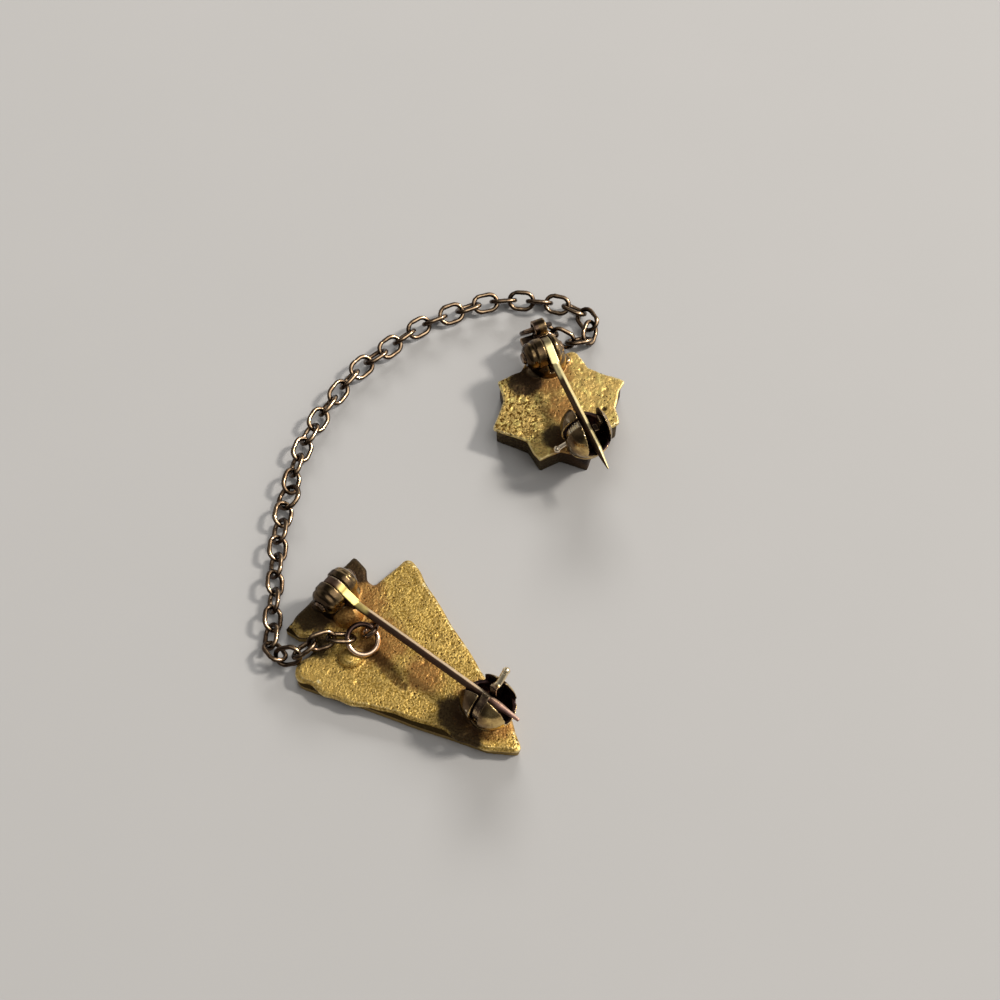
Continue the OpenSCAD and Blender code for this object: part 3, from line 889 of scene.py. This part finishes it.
def guard_lever_parts(g):
    """So are the guard's lever and the teeth of its collar, both with a painted highlight."""
    lever = round_catch(guard_pin, GUARD_LEVER_TURN, GUARD_LEVER_REACH)
    teeth = round_catch(guard_pin, GUARD_TEETH_TURN, GUARD_TEETH_REACH)
    yield g.near(lever, 0.6, 0.9), GUARD_LEVER_WEAR_AND_HIGHLIGHT
    yield g.near(teeth, 0.35, 0.6), GUARD_TEETH_WEAR_AND_HIGHLIGHT


def shell_parts(g):
    """Painted shade on the tops and left sides of the half balls, and rubbed rims with a painted
    highlight.
    """
    top = g.facing(Vector((-0.65, 0.15, 0.6)), 0.0, 0.85)
    yield g.times(g.stretch(g.ragged(top, g.noise(0.9), 0.9), 0.25, 0.8), 0.88), SHELL_SHADE
    yield g.times(g.edges(0.54, 0.62), 0.8), RUBBED_SHELL_AND_HIGHLIGHT


def chain_parts(g):
    """Tarnish and painted shade on the sides and the underside, which aren't rubbed."""
    # Faces that don't face up get tarnish and painted shade
    rubbed = g.ragged(g.facing(Vector((0.3, -0.2, 1.0)), 0.62, 1.0), g.noise(0.8))
    yield g.times(g.stretch(rubbed, 0.3, 0.8, 1.0, 0.0), 0.95), CHAIN_TARNISH_AND_SHADE


def joint_parts(g):
    """Painted shade on the left sides of the ball joints, which face away from the light."""
    side = g.ragged(g.facing(Vector((-0.8, -0.3, 0.3)), 0.0, 0.8), g.noise(0.7))
    yield g.times(g.stretch(side, 0.2, 0.7), 0.88), JOINT_SHADE


def ring_parts(g):
    """The badge's ring has tarnish and painted shade on its far side, near the joint."""
    near_side = Vector((0.5, -0.85, 0.0))
    yield g.minus(1.0, g.beyond(RING_CHANGE, near_side, -0.7, 0.5)), RING_TARNISH_AND_SHADE


badge_plate = sandy_gold(
    "badge_sandy_gold", BADGE_BACK, bright=(0.86, 0.58, 0.17), side=(0.36, 0.24, 0.075),
    grain_size=0.15, dark_grain=(0.36, 0.22, 0.04), coarse=BADGE_COARSE,
    brown=BADGE_BROWN, black=BADGE_BLACK_TARNISH_AND_SHADOW, shadow_band=BADGE_SHADOW_BAND)
guard_plate = sandy_gold(
    "guard_sandy_gold", GUARD_BACK, bright=(0.96, 0.665, 0.22), side=(0.03, 0.019, 0.016),
    grain_size=0.2, dark_grain=(0.17, 0.085, 0.012), coarse=GUARD_COARSE,
    brown=GUARD_BROWN, black=GUARD_BLACK_TARNISH_AND_SHADOW)
shell_metal = worn_metal(
    "catch_shell", bright=(0.78, 0.55, 0.22), dull=(0.3, 0.19, 0.08), dark=(0.02, 0.013, 0.01),
    share=0.52, rough=(0.12, 0.26), parts=shell_parts)
# Dark metal of the catches' hollows, where the darkness is painted shade
hollow_shade_metal = worn_metal(
    "catch_inside_shade", bright=(0.12, 0.07, 0.06), dull=(0.05, 0.03, 0.035), dark=(0.012, 0.008, 0.012),
    share=0.5, rough=(0.3, 0.5), rubbed=0.3)
joint_metal = worn_metal(
    "joint_cheeks", bright=(0.52, 0.35, 0.15), dull=(0.14, 0.09, 0.045), dark=(0.02, 0.013, 0.01),
    share=0.54, rough=(0.12, 0.28), parts=joint_parts)
badge_pin_metal = worn_metal(
    "badge_pin_gold", bright=(1.0, 0.78, 0.52), dull=(0.9, 0.62, 0.38), dark=(0.2, 0.1, 0.06),
    share=0.42, rough=(0.42, 0.55), parts=badge_pin_parts)
guard_pin_metal = worn_metal(
    "guard_pin_gold", bright=(1.0, 0.84, 0.45), dull=(0.86, 0.65, 0.28), dark=(0.2, 0.1, 0.05),
    share=0.42, rough=(0.42, 0.55), parts=tarnished_and_shaded_sides(guard_pin, -0.42, GUARD_TONGUE))
dark_metal = worn_metal(
    "dark_findings", bright=(0.42, 0.28, 0.17), dull=(0.09, 0.055, 0.038), dark=(0.02, 0.013, 0.012),
    share=0.54, rough=(0.1, 0.26))
collar_look = dict(
    bright=(0.5, 0.36, 0.2), dull=(0.12, 0.075, 0.05), dark=(0.02, 0.013, 0.012),
    share=0.54, rough=(0.12, 0.3))
badge_collar_metal = worn_metal("badge_collar_bronze", **collar_look, parts=badge_lever_parts)
guard_collar_metal = worn_metal("guard_collar_bronze", **collar_look, parts=guard_lever_parts)
chain_metal = worn_metal(
    "chain_bronze", bright=(0.78, 0.53, 0.31), dull=(0.23, 0.14, 0.08), dark=(0.015, 0.009, 0.008),
    share=0.48, rough=(0.15, 0.3), rubbed=0.3, parts=chain_parts)
black_metal = worn_metal(
    "black_ring", bright=(0.3, 0.2, 0.13), dull=(0.04, 0.025, 0.02), dark=(0.015, 0.01, 0.01),
    share=0.58, rough=(0.15, 0.3), rubbed=0.5)
ring_metal = worn_metal(
    "ring_bronze", bright=(0.86, 0.6, 0.4), dull=(0.46, 0.3, 0.19), dark=(0.04, 0.022, 0.016),
    share=0.4, rough=(0.14, 0.3), rubbed=0.3, parts=ring_parts)


# The pieces, each with its metals

# The order of a plate's metals
PLATE, JOINT, CATCH, INSIDE, DARK = range(5)


def wear(piece, *metals):
    """Gives a piece its materials."""
    piece.data.materials.clear()
    for metal in metals:
        piece.data.materials.append(metal)


def sort_faces(piece, pin, plain=(), dark=()):
    """Gives the faces above a plate's back the metals of its joint and its catch."""
    mesh = piece.data
    centers = rows_of(mesh.polygons, "center") / MM
    normals = rows_of(mesh.polygons, "normal")
    axis = np.array(pin.along)
    away = centers - np.array(pin.catch)
    distance = np.linalg.norm(away, axis=1)
    radial = np.linalg.norm(away - np.outer(away @ axis, axis), axis=1)
    facing_in = np.einsum("ij,ij->i", away, normals) < 0
    in_hollow = (distance < HOLLOW_REACH) & (centers[:, 2] > pin.back + HOLLOW_RISE)
    walls = (facing_in & (radial < HOLLOW_WALL)) | (radial < HOLLOW_CORE)
    kind = np.where(distance < CATCH_REACH, CATCH, JOINT)
    # The inward walls of the hollow take the dark inner metal, as painted shade
    kind[in_hollow & walls] = INSIDE
    for value, places in ((PLATE, plain), (DARK, dark)):
        for place, reach in places:
            kind[np.linalg.norm(centers - np.array(place), axis=1) < reach] = value
    kind[centers[:, 2] < pin.back + PLATE_RISE] = PLATE
    mesh.polygons.foreach_set("material_index", kind.astype(np.int32))
    mesh.update()


badge = worn_copy("badge", "root", "gold_back", BADGE_VOXEL, PLATE_ROUNDS, badge_shape, BADGE_DROPS)
wear(badge, badge_plate, joint_metal, shell_metal, hollow_shade_metal, dark_metal)
sort_faces(badge, badge_pin, BADGE_PLAIN_FACES, BADGE_DARK_FACES)
guard = worn_copy("guard", "root", "gold_back", GUARD_VOXEL, PLATE_ROUNDS, guard_shape, GUARD_DROPS)
wear(guard, guard_plate, joint_metal, shell_metal, hollow_shade_metal, dark_metal)
sort_faces(guard, guard_pin, dark=GUARD_DARK_FACES)

# The small pieces: the node that each stands for, the body that it rides on, its slot, the voxel and
# smoothing rounds of its copy, what shapes it and its metal
Small = namedtuple("Small", "node body slot voxel rounds shaping metal")
SMALL_PIECES = (
    Small("badge_pin", "badge_pin", "gold_pin", 0.045, 3, pin_shape, badge_pin_metal),
    Small("guard_pin", "guard_pin", "gold_pin", 0.045, 3, pin_shape, guard_pin_metal),
    Small("badge_collar", "badge_collar", "dark_findings", 0.04, 2, small_shape, badge_collar_metal),
    Small("guard_collar", "guard_collar", "dark_findings", 0.04, 2, toothed_collar, guard_collar_metal),
    Small("badge_rivet", "root", "dark_findings", 0.04, 3, small_shape, dark_metal),
    Small("guard_rivet", "root", "dark_findings", 0.04, 3, small_shape, dark_metal),
    Small("badge_ring", "root", "chain", 0.045, 2, thick_ring, ring_metal),
    Small("guard_ring", "root", "chain", 0.045, 2, thick_ring, black_metal),
)
for small in SMALL_PIECES:
    copy = worn_copy(small.node, small.body, small.slot, small.voxel, small.rounds, small.shaping)
    wear(copy, small.metal)
wear(worn_chain("guard_chain", "root", "chain"), chain_metal)


# Surroundings

def floor():
    """A pale, even surface, just below the jewel."""
    g = Graph("pale_paper")
    color = g.mix(g.noise(14), PAPER_DARK, PAPER_PALE)
    material = g.finish(color, 0.85, g.bump(g.noise(0.35), 0.004, 0.3), metallic=0.0)
    bpy.ops.mesh.primitive_plane_add(size=FLOOR_SIZE, location=(0.0, 0.0, -FLOOR_GAP))
    plane = bpy.context.object
    plane.name = "stage_floor"
    plane.data.materials.append(material)


def area_light(lamp):
    """A light that stands in a way from the jewel and shines on it."""
    light = bpy.data.lights.new(lamp.name, "AREA")
    light.shape = "RECTANGLE"
    light.size = lamp.size[0]
    light.size_y = lamp.size[1]
    light.energy = lamp.power
    light.color = lamp.color
    stand = bpy.data.objects.new(lamp.name, light)
    stand.location = VIEW_TARGET + lamp.way.normalized() * LIGHT_DISTANCE
    stand.rotation_euler = (-lamp.way).to_track_quat("-Z", "Y").to_euler()
    bpy.context.scene.collection.objects.link(stand)
    return stand


def room():
    """The light of the room, which changes with the direction."""
    world = bpy.data.worlds.new("studio")
    world.use_nodes = True
    tree = world.node_tree
    way = tree.nodes.new("ShaderNodeTexCoord").outputs["Generated"]

    def toward(shade):
        """A strength that changes with the angle from a shade's way."""
        dot = tree.nodes.new("ShaderNodeVectorMath")
        dot.operation = "DOT_PRODUCT"
        dot.inputs[1].default_value = shade.way.normalized()
        tree.links.new(way, dot.inputs[0])
        made = tree.nodes.new("ShaderNodeMapRange")
        made.interpolation_type = "SMOOTHSTEP"
        tree.links.new(dot.outputs["Value"], made.inputs["Value"])
        for name, number in (("From Min", shade.low), ("From Max", shade.high),
                             ("To Min", shade.to_low), ("To Max", shade.to_high)):
            made.inputs[name].default_value = number
        return made.outputs["Result"]

    def join(operation, a, b):
        """The result of an operation on two strengths."""
        made = tree.nodes.new("ShaderNodeMath")
        made.operation = operation
        tree.links.new(a, made.inputs[0])
        tree.links.new(b, made.inputs[1])
        return made.outputs[0]

    sky = join("MULTIPLY", toward(BRIGHT_SIDE), toward(DARK_CEILING))
    sky = join("ADD", sky, toward(PALE_CEILING))
    background = tree.nodes["Background"]
    background.inputs["Color"].default_value = ROOM_COLOR
    tree.links.new(sky, background.inputs["Strength"])
    bpy.context.scene.world = world


def camera():
    """The photograph's camera."""
    data = bpy.data.cameras.new("photo_camera")
    data.sensor_fit = "HORIZONTAL"
    data.sensor_width = SENSOR_WIDTH
    data.lens = VIEW_LENS
    data.clip_start = 1 * MM
    data.clip_end = 10.0
    eye = bpy.data.objects.new("photo_camera", data)
    back = Vector((0.0, -math.cos(VIEW_ELEVATION), math.sin(VIEW_ELEVATION))) * VIEW_DISTANCE
    eye.location = VIEW_TARGET + back
    eye.rotation_euler = (math.pi / 2 - VIEW_ELEVATION, 0.0, 0.0)
    bpy.context.scene.collection.objects.link(eye)
    bpy.context.scene.camera = eye


floor()
area_light(KEY_LIGHT)
# The light from behind falls on the surface but isn't mirrored in the metal, as if flagged off
area_light(BACK_LIGHT).visible_glossy = False
room()
camera()
bpy.context.scene.view_settings.view_transform = "Standard"
